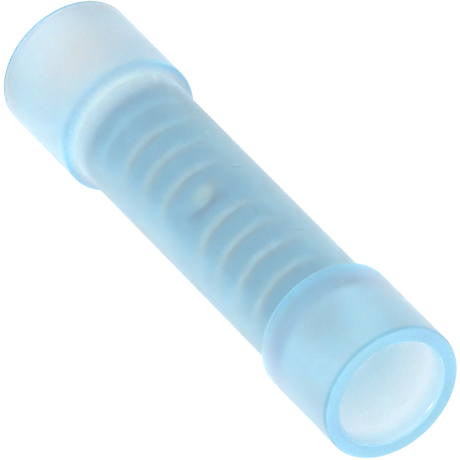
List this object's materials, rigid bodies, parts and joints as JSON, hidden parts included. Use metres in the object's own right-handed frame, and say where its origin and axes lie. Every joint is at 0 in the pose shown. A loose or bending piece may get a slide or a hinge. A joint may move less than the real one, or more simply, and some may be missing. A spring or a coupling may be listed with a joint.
{
  "type": "butt splice connector",
  "caption": "Nylon-insulated butt splice connector: a frosted blue sleeve with bell ends and inner funnels, round a tin-plated crimp barrel with rolled grooves and a centre wire stop.",
  "frame": {"origin": "middle of the lower rim, on the connector's axis", "axes": "+Z along the connector's axis from the lower rim to the upper one; the wire stop is pressed into the barrel from the -Y side"},
  "size_m": [0.0062, 0.0062, 0.026],
  "materials": {
    "blue_nylon": "frosted, translucent",
    "tin_plate": "satin tin plate on copper"
  },
  "bodies": {
    "root": {"nylon_sleeve": "blue_nylon", "crimp_barrel": "tin_plate"}
  },
  "joints": []
}
